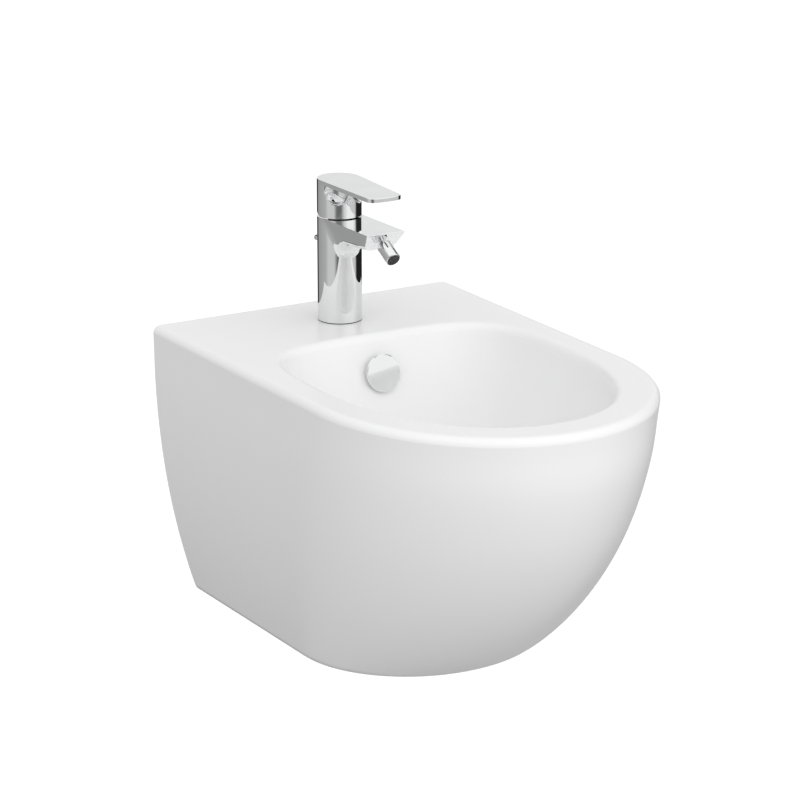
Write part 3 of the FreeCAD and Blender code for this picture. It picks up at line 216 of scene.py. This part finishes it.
class EffectGroups:
    """Builds each shared effect once, as a node group with named sockets."""

    def __init__(self) -> None:
        """Starts with no group built."""
        self.built: dict[Effect, bpy.types.NodeTree] = {}

    def get(self, effect: Effect) -> bpy.types.NodeTree:
        """Gives the group of an effect, building it the first time.

        Args:
            effect: the effect.

        Returns:
            The effect's node group.
        """
        if effect not in self.built:
            makers = {
                Effect.MOTTLE: self._mottle,
                Effect.PEEL: self._peel,
                Effect.LATHE: self._lathe,
                Effect.FLECK: self._fleck,
                Effect.WALL_FACE: self._wall_face,
            }
            self.built[effect] = makers[effect]()
        return self.built[effect]

    def _start(
        self, effect: Effect, inputs: dict[str, float], output: str
    ) -> tuple[Bench, dict[str, Socket], Socket]:
        """Makes an empty group.

        Args:
            effect: the effect that the group is named for.
            inputs: names and defaults of its number inputs.
            output: name of its one output.

        Returns:
            The bench, the inputs' values by name and the socket of the result.
        """
        tree = bpy.data.node_groups.new(effect.value, "ShaderNodeTree")
        for label, value in inputs.items():
            made = tree.interface.new_socket(name=label, in_out="INPUT", socket_type="NodeSocketFloat")
            made.default_value = value
        tree.interface.new_socket(name=output, in_out="OUTPUT", socket_type="NodeSocketFloat")
        bench = Bench(tree)
        given = bench.node("NodeGroupInput").outputs
        result = bench.node("NodeGroupOutput").inputs[0]
        return bench, {label: given[label] for label in inputs}, result

    def _mottle(self) -> bpy.types.NodeTree:
        """Makes a slow cloudy change between two values.

        Returns:
            The group.
        """
        inputs = {"Scale": 30.0, "Detail": 4.0, "Low": 0.0, "High": 1.0}
        bench, given, result = self._start(Effect.MOTTLE, inputs, "Value")
        cloud = bench.noise(bench.place(), given["Scale"], given["Detail"])
        bench.feed(result, bench.span(cloud, *NOISE_SPAN, given["Low"], given["High"]))
        return bench.tree

    def _peel(self) -> bpy.types.NodeTree:
        """Makes the gentle waviness of a fired or moulded skin, with a finer one on top.

        Returns:
            The group.
        """
        bench, given, result = self._start(Effect.PEEL, {"Scale": 60.0, "Fine": 0.2}, "Height")
        place = bench.place()
        broad = bench.noise(place, given["Scale"], 1.0)
        fine = bench.noise(place, bench.sum("MULTIPLY", given["Scale"], FINE_RATIO), 2.0)
        bench.feed(result, bench.sum("ADD", broad, bench.sum("MULTIPLY", fine, given["Fine"])))
        return bench.tree

    def _lathe(self) -> bpy.types.NodeTree:
        """Makes fine lines across the upright axis, as turning or brushing leaves them.

        Returns:
            The group.
        """
        bench, given, result = self._start(Effect.LATHE, {"Scale": 400.0, "Across": 0.06}, "Value")
        stretch = bench.node("CombineXYZ")
        for socket, value in zip(stretch.inputs, (given["Across"], given["Across"], 1.0)):
            bench.feed(socket, value)
        lines = bench.node("VectorMath", operation="MULTIPLY")
        bench.feed(lines.inputs[0], bench.place())
        bench.feed(lines.inputs[1], stretch.outputs[0])
        bench.feed(result, bench.noise(lines.outputs[0], given["Scale"], 3.0))
        return bench.tree

    def _fleck(self) -> bpy.types.NodeTree:
        """Makes scattered small round specks.

        Returns:
            The group.
        """
        bench, given, result = self._start(Effect.FLECK, {"Scale": 250.0, "Size": 0.12}, "Mask")
        cells = bench.node("TexVoronoi")
        bench.feed(cells.inputs["Vector"], bench.place())
        bench.feed(cells.inputs["Scale"], given["Scale"])
        edge = bench.sum("MULTIPLY", given["Size"], 0.5)
        bench.feed(result, bench.span(cells.outputs["Distance"], edge, given["Size"], 1.0, 0.0))
        return bench.tree

    def _wall_face(self) -> bpy.types.NodeTree:
        """Makes the mask of the ground back face, which meets the wall and has no glaze.

        Returns:
            The group.
        """
        bench, given, result = self._start(Effect.WALL_FACE, {"Depth": 0.0006}, "Mask")
        axes = bench.node("SeparateXYZ")
        bench.feed(axes.inputs[0], bench.place())
        start = bench.sum("MULTIPLY", given["Depth"], -2.0)
        end = bench.sum("MULTIPLY", given["Depth"], -1.0)
        bench.feed(result, bench.span(axes.outputs[1], start, end, 0.0, 1.0))
        return bench.tree


GROUPS = EffectGroups()


class Paint:
    """One material in the making: its bench, its Principled shader and its effects."""

    def __init__(self, name: str) -> None:
        """Makes the material and its shader.

        Args:
            name: the material's name.
        """
        self.material = bpy.data.materials.new(name)
        self.material.use_nodes = True
        self.bench = Bench(self.material.node_tree)
        self.shader = self.bench.node("BsdfPrincipled")
        surface = self.bench.node("OutputMaterial")
        self.bench.feed(surface.inputs[0], self.shader.outputs[0])

    def effect(self, which: Effect, **values: float) -> Socket:
        """Places a shared effect with its own values.

        Args:
            which: the effect.
            values: its named inputs, in lower case.

        Returns:
            The effect's output.
        """
        made = self.bench.node("Group", node_tree=GROUPS.get(which))
        for label, value in values.items():
            made.inputs[label.capitalize()].default_value = value
        return made.outputs[0]

    def set(self, **values: object) -> None:
        """Sets shader sockets from values or outputs, named with _ for spaces."""
        for label, value in values.items():
            self.bench.feed(self.shader.inputs[label.replace("_", " ")], value)

    def bump(self, height: Socket, strength: float, depth: float) -> None:
        """Raises the surface by a height.

        Args:
            height: the effect's output.
            strength: share of the height that shows.
            depth: the height of a full step, in metres.
        """
        made = self.bench.node("Bump")
        for label, value in (("Strength", strength), ("Distance", depth), ("Height", height)):
            self.bench.feed(made.inputs[label], value)
        self.bench.feed(self.shader.inputs["Normal"], made.outputs[0])


@dataclass(frozen=True)
class Glaze:
    """White sanitary glaze over a fired body, bare on the ground wall face."""

    light: Colour = (0.905, 0.905, 0.905)
    deep: Colour = (0.897, 0.898, 0.897)
    biscuit: Colour = (0.82, 0.8, 0.76)
    wall_depth: float = 0.0006
    cloud_scale: float = 6.0
    gloss_scale: float = 16.0
    smooth: float = 0.285
    rough: float = 0.32
    bare_rough: float = 0.75
    ior: float = 1.5
    shine: float = 0.2
    wave_scale: float = 14.0
    relief: float = 0.01
    wave_depth: float = 0.001

    def material(self) -> bpy.types.Material:
        """Builds the finish.

        Returns:
            The material.
        """
        paint = Paint("white_glaze")
        bench = paint.bench
        bare = paint.effect(Effect.WALL_FACE, depth=self.wall_depth)
        cloud = paint.effect(Effect.MOTTLE, scale=self.cloud_scale, detail=2.0)
        glazed = bench.blend(cloud, self.light, self.deep)
        paint.set(Base_Color=bench.blend(bare, glazed, self.biscuit))
        gloss = paint.effect(
            Effect.MOTTLE, scale=self.gloss_scale, detail=3.0, low=self.smooth, high=self.rough
        )
        paint.set(Roughness=bench.sum("MAXIMUM", gloss, bench.sum("MULTIPLY", bare, self.bare_rough)))
        paint.set(IOR=self.ior, Specular_IOR_Level=self.shine)
        waves = paint.effect(Effect.PEEL, scale=self.wave_scale, fine=0.0)
        paint.bump(waves, self.relief, self.wave_depth)
        return paint.material


@dataclass(frozen=True)
class Chrome:
    """Bright chrome plate with the faint clouding of wiped metal."""

    light: Colour = (0.93, 0.933, 0.937)
    deep: Colour = (0.895, 0.899, 0.905)
    cloud_scale: float = 40.0
    gloss_scale: float = 70.0
    smooth: float = 0.012
    rough: float = 0.03

    def material(self) -> bpy.types.Material:
        """Builds the finish.

        Returns:
            The material.
        """
        paint = Paint("bright_chrome")
        cloud = paint.effect(Effect.MOTTLE, scale=self.cloud_scale, detail=1.0)
        paint.set(Base_Color=paint.bench.blend(cloud, self.light, self.deep), Metallic=1.0)
        gloss = paint.effect(
            Effect.MOTTLE, scale=self.gloss_scale, detail=1.0, low=self.smooth, high=self.rough
        )
        paint.set(Roughness=gloss)
        return paint.material


@dataclass(frozen=True)
class TurnedMetal:
    """Bare metal with the lines of its turning or brushing."""

    name: str
    light: Colour
    deep: Colour
    smooth: float = 0.285
    rough: float = 0.43
    line_scale: float = 900.0
    line_across: float = 0.08
    cloud_scale: float = 120.0
    stain: float = 0.6
    relief: float = 0.12
    line_depth: float = 0.0002

    def material(self) -> bpy.types.Material:
        """Builds the finish.

        Returns:
            The material.
        """
        paint = Paint(self.name)
        bench = paint.bench
        lines = paint.effect(Effect.LATHE, scale=self.line_scale, across=self.line_across)
        cloud = paint.effect(Effect.MOTTLE, scale=self.cloud_scale, high=self.stain)
        share = bench.sum("MAXIMUM", bench.sum("MULTIPLY", lines, self.stain), cloud)
        paint.set(Base_Color=bench.blend(share, self.light, self.deep), Metallic=1.0)
        paint.set(Roughness=bench.span(lines, *NOISE_SPAN, self.smooth, self.rough))
        paint.bump(lines, self.relief, self.line_depth)
        return paint.material


@dataclass(frozen=True)
class Moulding:
    """Moulded plastic or rubber with a fine skin texture."""

    name: str
    light: Colour
    deep: Colour
    smooth: float
    rough: float
    grain: float = 420.0
    relief: float = 0.12
    cloud_scale: float = 75.0
    speck_size: float = 0.1
    speck_share: float = 0.2
    fine: float = 0.4
    skin_depth: float = 0.0003

    def material(self) -> bpy.types.Material:
        """Builds the finish.

        Returns:
            The material.
        """
        paint = Paint(self.name)
        bench = paint.bench
        cloud = paint.effect(Effect.MOTTLE, scale=self.cloud_scale)
        colour = bench.blend(cloud, self.light, self.deep)
        specks = paint.effect(Effect.FLECK, scale=self.grain, size=self.speck_size)
        pale = bench.sum("MULTIPLY", specks, self.speck_share)
        paint.set(Base_Color=bench.blend(pale, colour, self.light))
        gloss = paint.effect(Effect.MOTTLE, scale=self.grain / 2, low=self.smooth, high=self.rough)
        paint.set(Roughness=gloss)
        skin = paint.effect(Effect.PEEL, scale=self.grain, fine=self.fine)
        paint.bump(skin, self.relief, self.skin_depth)
        return paint.material


@dataclass(frozen=True)
class LappedCeramic:
    """Technical ceramic with a lapped face."""

    light: Colour = (0.84, 0.82, 0.77)
    deep: Colour = (0.76, 0.74, 0.69)
    speck_scale: float = 900.0
    speck_size: float = 0.25
    gloss_scale: float = 300.0
    smooth: float = 0.12
    rough: float = 0.26
    wave_scale: float = 700.0
    fine: float = 0.5
    relief: float = 0.05
    wave_depth: float = 0.0001

    def material(self) -> bpy.types.Material:
        """Builds the finish.

        Returns:
            The material.
        """
        paint = Paint("lapped_ceramic")
        specks = paint.effect(Effect.FLECK, scale=self.speck_scale, size=self.speck_size)
        paint.set(Base_Color=paint.bench.blend(specks, self.light, self.deep))
        gloss = paint.effect(Effect.MOTTLE, scale=self.gloss_scale, low=self.smooth, high=self.rough)
        paint.set(Roughness=gloss)
        waves = paint.effect(Effect.PEEL, scale=self.wave_scale, fine=self.fine)
        paint.bump(waves, self.relief, self.wave_depth)
        return paint.material


FINISHES = {
    Slot.GLAZE: Glaze(),
    Slot.CHROME: Chrome(),
    Slot.BRASS: TurnedMetal("turned_brass", (0.78, 0.62, 0.3), (0.62, 0.47, 0.2)),
    Slot.STEEL: TurnedMetal(
        "plated_steel", (0.66, 0.67, 0.68), (0.5, 0.5, 0.52), smooth=0.29, rough=0.48
    ),
    Slot.RUBBER: Moulding(
        "black_rubber",
        (0.035, 0.035, 0.036),
        (0.018, 0.018, 0.019),
        smooth=0.55,
        rough=0.75,
        grain=500.0,
        relief=0.2,
    ),
    Slot.WHITE_PLASTIC: Moulding(
        "white_plastic", (0.8, 0.8, 0.78), (0.74, 0.74, 0.71), smooth=0.34, rough=0.46
    ),
    Slot.GREY_PLASTIC: Moulding(
        "grey_plastic", (0.31, 0.32, 0.33), (0.25, 0.26, 0.27), smooth=0.38, rough=0.52
    ),
    Slot.DISC_CERAMIC: LappedCeramic(),
    Slot.SCREEN: Moulding(
        "dark_screen",
        (0.06, 0.06, 0.063),
        (0.035, 0.035, 0.037),
        smooth=0.4,
        rough=0.55,
        grain=800.0,
        relief=0.15,
    ),
    Slot.INDICATOR: Moulding(
        "pale_cap",
        (0.84, 0.84, 0.84),
        (0.79, 0.79, 0.79),
        smooth=0.08,
        rough=0.14,
        grain=300.0,
        relief=0.03,
    ),
}


@dataclass
class Wardrobe:
    """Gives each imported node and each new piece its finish."""

    made: dict[Slot, bpy.types.Material] = field(default_factory=dict)

    def material(self, slot: Slot) -> bpy.types.Material:
        """Gives the material of a slot, building it the first time.

        Args:
            slot: the record's slot.

        Returns:
            The slot's material.
        """
        if slot not in self.made:
            self.made[slot] = FINISHES[slot].material()
        return self.made[slot]

    def dress_nodes(self) -> None:
        """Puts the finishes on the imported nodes."""
        slots = {row["node"]: Slot(row["material_slot"]) for row in frame["record"]["subparts"]}
        for name, node in frame["nodes"].items():
            for place in node.material_slots:
                place.material = self.material(slots[name])
            LOG.info("dressed %s as %s", name, slots[name].value)

    def dress(self, piece: bpy.types.Object, slot: Slot, body: str) -> None:
        """Finishes a new piece and sets it on its body.

        Args:
            piece: the piece's object.
            slot: the record's slot that it takes its finish from.
            body: the body that it moves with.
        """
        piece.data.materials.append(self.material(slot))
        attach(piece, body)
        LOG.info("made %s on %s", piece.name, body)


def finish_mesh(name: str, shape: bmesh.types.BMesh) -> bpy.types.Object:
    """Turns a finished bmesh into an object at the origin, with flat faces.

    Args:
        name: the piece's name.
        shape: the mesh, which is freed.

    Returns:
        The linked object.
    """
    bmesh.ops.remove_doubles(shape, verts=shape.verts, dist=MERGE)
    bmesh.ops.recalc_face_normals(shape, faces=shape.faces)
    for face in shape.faces:
        face.smooth = False
    mesh = bpy.data.meshes.new(name)
    shape.to_mesh(mesh)
    shape.free()
    piece = bpy.data.objects.new(name, mesh)
    bpy.context.scene.collection.objects.link(piece)
    return piece


@dataclass
class ClampStud:
    """Threaded stud that pulls the mixer down; it stands for the plain packed stud.

    The outline gives one tooth of the thread, as pairs of rise and place along the pitch.
    """

    pitch: float = 0.00125
    depth: float = 0.00062
    steps: int = 28
    spare_teeth: int = 3
    outline: Stops = ((0.0, 0.0), (0.0, 0.12), (1.0, 0.44), (1.0, 0.56), (0.0, 0.88))

    def build(self, wardrobe: Wardrobe) -> None:
        """Makes the stud and dresses it.

        Args:
            wardrobe: the finishes.
        """
        shape = bmesh.new()
        low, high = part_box("clamp_stud")
        self._spin_thread(shape, low, high)
        self._trim_ends(shape, (low.z, high.z))
        piece = finish_mesh("clamp_stud_thread", shape)
        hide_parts("clamp_stud")
        wardrobe.dress(piece, Slot.STEEL, "bidet")

    def _spin_thread(self, shape: bmesh.types.BMesh, low: Vector, high: Vector) -> None:
        """Spins a toothed edge up a screw, past both ends of the stud.

        Args:
            shape: the mesh to fill.
            low: the plain stud's lowest corner.
            high: the plain stud's highest corner.
        """
        centre = Vector(((low.x + high.x) / 2, (low.y + high.y) / 2, 0.0))
        root = (high.x - low.x) / 2 - self.depth
        edge: list[bmesh.types.BMVert] = []
        for tooth in range(int((high.z - low.z) / self.pitch) + self.spare_teeth):
            foot = low.z + (tooth - self.spare_teeth / 2) * self.pitch
            for rise, share in self.outline:
                point = Vector((root + rise * self.depth, 0.0, foot + share * self.pitch))
                edge.append(shape.verts.new(centre + point))
        edges = [shape.edges.new(two) for two in zip(edge, edge[1:])]
        bmesh.ops.spin(
            shape,
            geom=edge + edges,
            cent=centre,
            axis=(0.0, 0.0, 1.0),
            dvec=(0.0, 0.0, self.pitch / self.steps),
            angle=2 * math.pi,
            steps=self.steps,
            use_merge=False,
        )
        bmesh.ops.remove_doubles(shape, verts=shape.verts, dist=MERGE)

    def _trim_ends(self, shape: bmesh.types.BMesh, levels: tuple[float, float]) -> None:
        """Cuts the thread off flat at both ends and closes it.

        Args:
            shape: the thread's mesh.
            levels: heights of the lower and the upper end.
        """
        for level, way in zip(levels, (-1.0, 1.0)):
            cut = bmesh.ops.bisect_plane(
                shape,
                geom=shape.verts[:] + shape.edges[:] + shape.faces[:],
                plane_co=(0.0, 0.0, level),
                plane_no=(0.0, 0.0, way),
                clear_outer=True,
            )
            rim = [e for e in cut["geom_cut"] if isinstance(e, bmesh.types.BMEdge)]
            bmesh.ops.edgeloop_fill(shape, edges=rim)


@dataclass
class GlandGrip:
    """Finger ribs around the cap nut of the ball rod's port."""

    count: int = 24
    width: float = 0.0013
    rise: float = 0.0007
    inset: float = 0.0012
    round_share: float = 0.45

    def build(self, wardrobe: Wardrobe) -> None:
        """Sets bevelled ribs around the nut and dresses them.

        Args:
            wardrobe: the finishes.
        """
        low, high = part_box("gland_nut")
        radius = (high.x - low.x) / 2
        size = (self.width, high.y - low.y - 2 * self.inset, 2 * self.rise)
        middle = Matrix.Translation((low + high) / 2)
        outwards = Matrix.Translation((0.0, 0.0, radius))
        shape = bmesh.new()
        for k in range(self.count):
            rib = bmesh.ops.create_cube(shape, size=1.0)["verts"]
            bmesh.ops.scale(shape, verts=rib, vec=size)
            rounded = bmesh.ops.bevel(
                shape,
                geom=list({e for v in rib for e in v.link_edges}),
                offset=self.rise * self.round_share,
                segments=2,
                profile=0.5,
                affect="EDGES",
                material=-1,
            )
            verts = list({v for f in rounded["faces"] for v in f.verts})
            turn = Matrix.Rotation(2 * math.pi * k / self.count, 4, "Y")
            bmesh.ops.transform(shape, matrix=middle @ turn @ outwards, verts=verts)
        wardrobe.dress(finish_mesh("gland_nut_grip", shape), Slot.BRASS, "bidet")


@dataclass
class Studio:
    """Camera at the photo's angle, a plain pale floor and a soft light tent.

    Polished pieces mirror the tent's bands: above and below give their brightness around the
    horizon, by degrees to the right of the camera. Everything else is lit by the soft tent,
    which leans towards one side and has lobes to the right, to the back and underneath.
    """

    eye: Colour = (-1.4169, -2.5595, 0.9250)
    target: Colour = (-0.001947, -0.2, 0.079267)
    lens: float = 127.71
    sensor: float = 36.0
    floor_z: float = -0.265
    floor_half: float = 14.0
    white: float = 1.12
    above: Stops = (
        (-180, 0.8), (-160, 0.8), (-152, 0.02), (-136, 0.02), (-129, 0.32), (-77, 0.45),
        (-60, 0.6), (-28, 0.6), (-12, 0.2), (10, 0.2), (26, 0.65), (44, 0.95), (76, 0.95),
        (88, 0.65), (98, 0.02), (152, 0.02), (160, 0.8), (180, 0.8),
    )
    below: Stops = (
        (-180, 0.5), (-166, 0.5), (-161, 0.015), (-142, 0.015), (-135, 0.32), (-77, 0.42),
        (-60, 0.58), (-28, 0.58), (-12, 0.15), (10, 0.14), (26, 0.55), (60, 0.62),
        (88, 0.55), (98, 0.015), (158, 0.015), (163, 0.5), (180, 0.5),
    )
    horizon: tuple[float, float] = (-0.06, 0.1)
    roof: float = 1.0
    roof_from: tuple[float, float] = (0.45, 0.85)
    ground: float = 0.4
    ground_from: tuple[float, float] = (-0.85, -0.55)
    soft_level: float = 0.512
    soft_lean: Colour = (-0.255, -0.585, 0.42)
    soft_right: float = 0.38
    soft_back: float = 0.4
    soft_under: float = -0.33

    def build(self) -> None:
        """Sets up the whole studio."""
        bpy.context.scene.view_settings.view_transform = "Standard"
        self._camera()
        self._floor()
        self._tent()

    def _camera(self) -> None:
        """Places the camera and aims it."""
        data = bpy.data.cameras.new("photo_camera")
        data.lens = self.lens
        data.sensor_width = self.sensor
        camera = bpy.data.objects.new("photo_camera", data)
        aim = Vector(self.target) - Vector(self.eye)
        camera.location = self.eye
        camera.rotation_euler = aim.to_track_quat("-Z", "Y").to_euler()
        bpy.context.scene.collection.objects.link(camera)
        bpy.context.scene.camera = camera

    def _floor(self) -> None:
        """Lays a pale floor that shows plain white from above and nothing from below."""
        shape = bmesh.new()
        bmesh.ops.create_grid(shape, x_segments=1, y_segments=1, size=self.floor_half)
        bmesh.ops.translate(shape, verts=shape.verts, vec=(0.0, 0.0, self.floor_z))
        floor = finish_mesh("pale_floor", shape)
        material = bpy.data.materials.new("pale_floor")
        material.use_nodes = True
        bench = Bench(material.node_tree)
        upper = bench.sum("SUBTRACT", 1.0, bench.node("NewGeometry").outputs["Backfacing"])
        seen = bench.sum("MULTIPLY", bench.node("LightPath").outputs["Is Camera Ray"], upper)
        white = bench.node("Emission")
        bench.feed(white.inputs["Color"], (1.0, 1.0, 1.0, 1.0))
        bench.feed(white.inputs["Strength"], self.white)
        clear = bench.node("BsdfTransparent")
        mixed = bench.node("MixShader")
        for socket, source in zip(mixed.inputs, (seen, clear.outputs[0], white.outputs[0])):
            bench.feed(socket, source)
        bench.feed(bench.node("OutputMaterial").inputs[0], mixed.outputs[0])
        floor.data.materials.append(material)

    def _ramp(self, bench: Bench, share: Socket, stops: Stops) -> Socket:
        """Adds a ramp of brightness around the horizon.

        Args:
            bench: the world's bench.
            share: the turn from the camera, from 0 to 1.
            stops: pairs of degrees to the right of the camera and brightness.

        Returns:
            The ramp's colour.
        """
        ramp = bench.node("ValToRGB")
        points = ramp.color_ramp.elements
        for point, (turn, value) in zip((points[0], points[1]), (stops[0], stops[-1])):
            point.position = turn / 360 + 0.5
            point.color = (value, value, value, 1.0)
        for turn, value in stops[1:-1]:
            points.new(turn / 360 + 0.5).color = (value, value, value, 1.0)
        bench.feed(ramp.inputs[0], share)
        return ramp.outputs[0]

    def _bands(self, bench: Bench, right: Socket, near: Socket, height: Socket) -> Socket:
        """Adds the bands that polished pieces mirror.

        Args:
            bench: the world's bench.
            right: how far a direction goes to the camera's right.
            near: how far it goes towards the camera.
            height: how far it goes up.

        Returns:
            The bands' colour.
        """
        turn = bench.sum("ARCTAN2", right, near)
        share = bench.sum("ADD", bench.sum("DIVIDE", turn, 2 * math.pi), 0.5)
        sides = bench.blend(
            bench.span(height, *self.horizon, 0.0, 1.0),
            self._ramp(bench, share, self.below),
            self._ramp(bench, share, self.above),
        )
        roofed = bench.blend(bench.span(height, *self.roof_from, 0.0, 1.0), sides, (self.roof,) * 3)
        floored = bench.span(height, *self.ground_from, 1.0, 0.0)
        return bench.blend(floored, roofed, (self.ground,) * 3)

    def _soft(self, bench: Bench, lean: Socket, lobes: tuple[tuple[Socket, float], ...]) -> Socket:
        """Adds the soft light that falls on everything else.

        Args:
            bench: the world's bench.
            lean: the change from one side of the tent to the other.
            lobes: pairs of how far a direction goes to a side and that side's brightness.

        Returns:
            The soft light's brightness.
        """
        soft = bench.sum("ADD", lean, self.soft_level)
        for side, weight in lobes:
            lobe = bench.sum("MULTIPLY", bench.sum("MAXIMUM", side, 0.0), weight)
            soft = bench.sum("ADD", soft, lobe)
        return bench.sum("MAXIMUM", soft, 0.0)

    def _tent(self) -> None:
        """Builds the light tent around the object."""
        world = bpy.data.worlds.new("light_tent")
        bpy.context.scene.world = world
        world.use_nodes = True
        bench = Bench(world.node_tree)
        way = bench.node("TexCoord").outputs["Generated"]
        aim = Vector(self.target) - Vector(self.eye)
        ahead = Vector((aim.x, aim.y, 0.0)).normalized()
        right = bench.dot(way, Vector((ahead.y, -ahead.x, 0.0)))
        near = bench.dot(way, -ahead)
        axes = bench.node("SeparateXYZ")
        bench.feed(axes.inputs[0], way)
        back, height = axes.outputs[1], axes.outputs[2]
        under = bench.sum("MULTIPLY", height, -1.0)
        lobes = ((right, self.soft_right), (back, self.soft_back), (under, self.soft_under))
        soft = self._soft(bench, bench.dot(way, self.soft_lean), lobes)
        bands = self._bands(bench, right, near, height)
        path = bench.node("LightPath")
        lit = bench.blend(path.outputs["Is Glossy Ray"], soft, bands)
        shown = bench.blend(path.outputs["Is Camera Ray"], lit, (self.white,) * 3)
        light = bench.node("Background")
        bench.feed(light.inputs["Color"], shown)
        bench.feed(bench.node("OutputWorld").inputs[0], light.outputs[0])


def main() -> None:
    """Builds the studio, the finishes and the new pieces in order."""
    logging.basicConfig(level=logging.INFO, format="%(name)s: %(message)s")
    Studio().build()
    wardrobe = Wardrobe()
    wardrobe.dress_nodes()
    ClampStud().build(wardrobe)
    GlandGrip().build(wardrobe)


if __name__ == "__main__":
    main()
